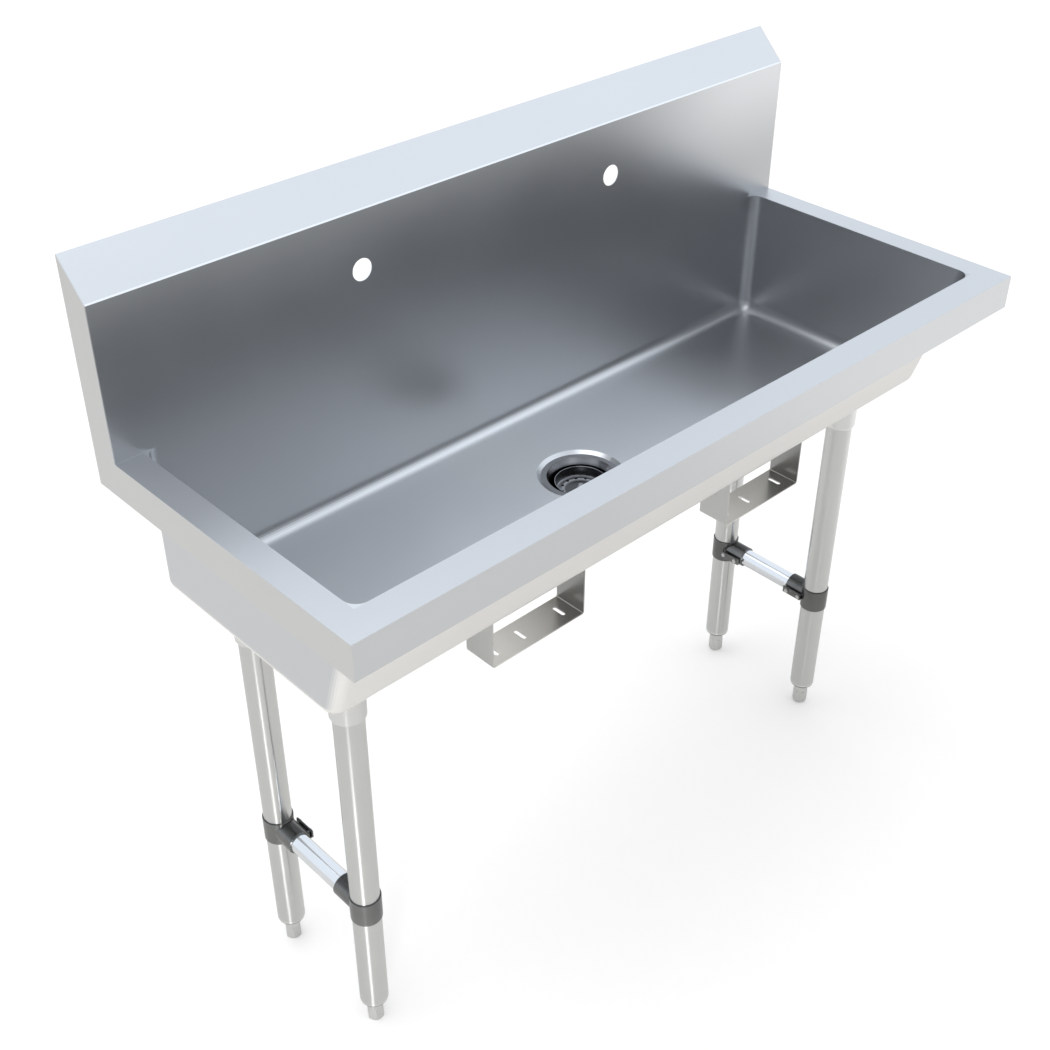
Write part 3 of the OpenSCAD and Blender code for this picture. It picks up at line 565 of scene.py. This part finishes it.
studio = {
    "floorSize": 30.0,
    "floorDrop": 0.001,
    "floorRoughness": 0.9,
    "floorSheen": 0.1,
    "floorColour": (0.62, 0.62, 0.62),
    "floorMirrored": (0.70, 0.70, 0.69),
    "floorMirroredRight": (0.90, 0.90, 0.89),
    "mirrorFade": (0.7, 1.7),
    "floorSeen": (1.0, 1.0, 1.0),
    "skyColour": (1.0, 1.0, 1.0),
    "skySeen": (0.87, 0.93, 1.0),
    "skyStrength": 1.05,
    "dimTowards": (-0.55, -0.62, 0.56),
    "dimStart": 0.45,
    "dimFull": 0.95,
    "dimShare": 0.48,
    "lamps": [
        {"name": "topPanel", "place": (-0.7, 0.4, 3.6), "aim": (-0.1, 0, 0.8),
         "size": (2.8, 2.2), "power": 23, "spread": 180},
        {"name": "eyeStrip", "place": (-2.34, -1.81, 0.42), "aim": (-0.45, -0.05, 0.22),
         "size": (0.3, 0.5), "power": 0.38, "spread": 20},
        {"name": "lowStrip", "place": (-2.34, -1.81, 0.12), "aim": (-0.45, -0.05, 0.12),
         "size": (0.55, 0.2), "power": 0.9, "spread": 22},
    ],
}


def makeWorld():
    # plain pale sky, dimmer on the side behind the user's left shoulder, white to the camera
    world = bpy.data.worlds.new("studioWorld")
    bpy.context.scene.world = world
    world.use_nodes = True
    tree = world.node_tree
    background = tree.nodes["Background"]
    path = addNode(tree, "ShaderNodeLightPath")
    tone = addNode(tree, "ShaderNodeMix", data_type="RGBA")
    tone.inputs["A"].default_value = (*studio["skyColour"], 1)
    tone.inputs["B"].default_value = (*studio["skySeen"], 1)
    tree.links.new(path.outputs["Is Glossy Ray"], tone.inputs["Factor"])
    tree.links.new(tone.outputs["Result"], background.inputs["Color"])
    coords = addNode(tree, "ShaderNodeTexCoord")
    towards = addNode(tree, "ShaderNodeVectorMath", operation="DOT_PRODUCT")
    tree.links.new(coords.outputs["Generated"], towards.inputs[0])
    towards.inputs[1].default_value = Vector(studio["dimTowards"]).normalized()
    dim = addNode(tree, "ShaderNodeMapRange", interpolation_type="SMOOTHSTEP", **{
        "From Min": studio["dimStart"], "From Max": studio["dimFull"],
        "To Min": studio["skyStrength"], "To Max": studio["skyStrength"] * studio["dimShare"]})
    tree.links.new(towards.outputs["Value"], dim.inputs["Value"])
    level = addNode(tree, "ShaderNodeMix", data_type="FLOAT")
    level.inputs["A"].default_value = studio["skyStrength"]
    tree.links.new(path.outputs["Is Glossy Ray"], level.inputs["Factor"])
    tree.links.new(dim.outputs["Result"], level.inputs["B"])
    tree.links.new(level.outputs["Result"], background.inputs["Strength"])
    bright = addNode(tree, "ShaderNodeBackground")
    mix = addNode(tree, "ShaderNodeMixShader")
    tree.links.new(path.outputs["Is Camera Ray"], mix.inputs["Fac"])
    tree.links.new(background.outputs[0], mix.inputs[1])
    tree.links.new(bright.outputs[0], mix.inputs[2])
    tree.links.new(mix.outputs[0], tree.nodes["World Output"].inputs["Surface"])
    bright.inputs["Color"].default_value = (1, 1, 1, 1)


def makeFloor():
    # white to the camera, pale grey to the light, and paler on the right where the steel mirrors it
    mesh = bpy.data.meshes.new("studioFloor")
    shape = bmesh.new()
    bmesh.ops.create_grid(shape, x_segments=2, y_segments=2, size=studio["floorSize"] / 2)
    bmesh.ops.translate(shape, vec=(0, 0, -studio["floorDrop"]), verts=shape.verts)
    shape.to_mesh(mesh)
    shape.free()
    floor = bpy.data.objects.new("studioFloor", mesh)
    bpy.context.scene.collection.objects.link(floor)
    material, tree, shader = newMaterial("floorWhite")
    path = addNode(tree, "ShaderNodeLightPath")
    place, _, _ = placeNodes(tree)
    shine = addNode(tree, "ShaderNodeMix", data_type="RGBA")
    shine.inputs["A"].default_value = (*studio["floorMirrored"], 1)
    shine.inputs["B"].default_value = (*studio["floorMirroredRight"], 1)
    tree.links.new(softStep(tree, place.outputs["X"], *studio["mirrorFade"]), shine.inputs["Factor"])
    mirrored = addNode(tree, "ShaderNodeMix", data_type="RGBA")
    mirrored.inputs["A"].default_value = (*studio["floorColour"], 1)
    tree.links.new(shine.outputs["Result"], mirrored.inputs["B"])
    tree.links.new(path.outputs["Is Glossy Ray"], mirrored.inputs["Factor"])
    tone = addNode(tree, "ShaderNodeMix", data_type="RGBA")
    tree.links.new(path.outputs["Is Camera Ray"], tone.inputs["Factor"])
    tree.links.new(mirrored.outputs["Result"], tone.inputs["A"])
    tone.inputs["B"].default_value = (*studio["floorSeen"], 1)
    tree.links.new(tone.outputs["Result"], shader.inputs["Base Color"])
    shader.inputs["Roughness"].default_value = studio["floorRoughness"]
    shader.inputs["Specular IOR Level"].default_value = studio["floorSheen"]
    mesh.materials.append(material)


def makeLamps():
    # a panel above, and two narrow strips near the camera's side that draw the pale bands on the legs
    for lamp in studio["lamps"]:
        data = bpy.data.lights.new(lamp["name"], "AREA")
        data.shape = "RECTANGLE"
        data.size, data.size_y = lamp["size"]
        data.energy = lamp["power"]
        data.spread = math.radians(lamp["spread"])
        panel = bpy.data.objects.new(lamp["name"], data)
        panel.location = lamp["place"]
        direction = Vector(lamp["aim"]) - Vector(lamp["place"])
        panel.rotation_mode = "QUATERNION"
        panel.rotation_quaternion = direction.to_track_quat("-Z", "Y")
        bpy.context.scene.collection.objects.link(panel)


cameraView = {
    "place": (-1.2502, -1.1807, 1.8239),
    "azimuth": -43.40,
    "elevation": 35.49,
    "roll": 0.088,
    "lens": 50.03,
    "sensor": 36.0,
}


def makeCamera():
    # fitted to the photograph: angles in degrees, lens and sensor in millimetres
    data = bpy.data.cameras.new("photoCamera")
    data.sensor_width = cameraView["sensor"]
    data.lens = cameraView["lens"]
    camera = bpy.data.objects.new("photoCamera", data)
    azimuth = math.radians(cameraView["azimuth"])
    elevation = math.radians(cameraView["elevation"])
    back = Vector((math.sin(azimuth) * math.cos(elevation), -math.cos(azimuth) * math.cos(elevation),
                   math.sin(elevation)))
    turn = (-back).to_track_quat("-Z", "Y").to_matrix().to_4x4()
    roll = Matrix.Rotation(math.radians(cameraView["roll"]), 4, "Z")
    camera.matrix_world = Matrix.Translation(cameraView["place"]) @ turn @ roll
    bpy.context.scene.collection.objects.link(camera)
    bpy.context.scene.camera = camera


makeWorld()
makeFloor()
makeLamps()
makeCamera()
bpy.context.scene.view_settings.view_transform = "Standard"
print("studio ready")
